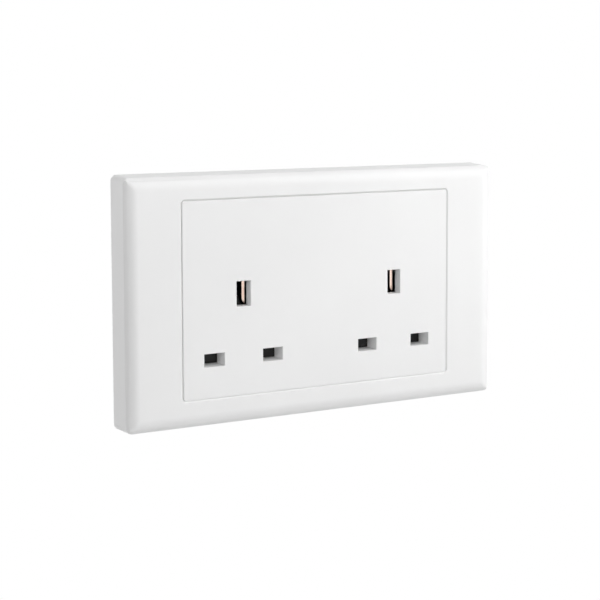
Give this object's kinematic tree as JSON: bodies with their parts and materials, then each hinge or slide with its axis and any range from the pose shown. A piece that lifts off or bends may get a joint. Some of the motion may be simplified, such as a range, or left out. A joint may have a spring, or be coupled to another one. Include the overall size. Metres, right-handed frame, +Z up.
{
  "type": "twin socket outlet",
  "caption": "Flush twin mains outlet for three-pin plugs: stepped white face in a clip-on surround, shuttered slots, steel frame and rear housing.",
  "frame": {"origin": "centre of the surround in the plane of the wall", "axes": "+X to the right along the width seen from the room, +Y into the wall, +Z up"},
  "size_m": [0.147, 0.0335, 0.0874],
  "materials": {
    "white_plastic": "satin gloss, fine moulded surface",
    "black_plastic": "matt moulded",
    "carrier_plastic": "matt moulded",
    "grey_plastic": "matt moulded",
    "spring_steel": "drawn wire",
    "zinc_steel": "zinc plated sheet",
    "contact_copper": "rolled copper alloy strip",
    "strip_brass": "rolled strip",
    "terminal_brass": "machined",
    "screw_steel": "zinc plated"
  },
  "bodies": {
    "housing": {"outer_frame": "white_plastic", "cover_plate": "white_plastic", "left_carrier": "carrier_plastic", "right_carrier": "carrier_plastic", "left_shutter_spring": "spring_steel", "right_shutter_spring": "spring_steel", "mounting_frame": "zinc_steel", "rear_body": "grey_plastic", "earth_clip_left": "contact_copper", "earth_clip_right": "contact_copper", "neutral_clip_left": "contact_copper", "live_clip_left": "contact_copper", "neutral_clip_right": "contact_copper", "live_clip_right": "contact_copper", "neutral_busbar": "strip_brass", "live_busbar": "strip_brass", "earth_busbar": "strip_brass", "neutral_terminal": "terminal_brass", "live_terminal": "terminal_brass", "earth_terminal": "terminal_brass", "neutral_terminal_screw": "screw_steel", "live_terminal_screw": "screw_steel", "earth_terminal_screws": "screw_steel", "clip_rivets": "terminal_brass", "housing_screws": "screw_steel"},
    "left_shutter": {"left_shutter": "black_plastic"},
    "right_shutter": {"right_shutter": "black_plastic"}
  },
  "joints": [
    {"name": "left_shutter_slide", "type": "slide", "parent": "housing", "child": "left_shutter", "axis": [0, 0, -1], "range_m": [0, 0.0058], "stiffness_N_per_m": 80, "springref_m": -0.004, "deforming": ["left_shutter_spring"]},
    {"name": "right_shutter_slide", "type": "slide", "parent": "housing", "child": "right_shutter", "axis": [0, 0, -1], "range_m": [0, 0.0058], "stiffness_N_per_m": 80, "springref_m": -0.004, "deforming": ["right_shutter_spring"]}
  ]
}
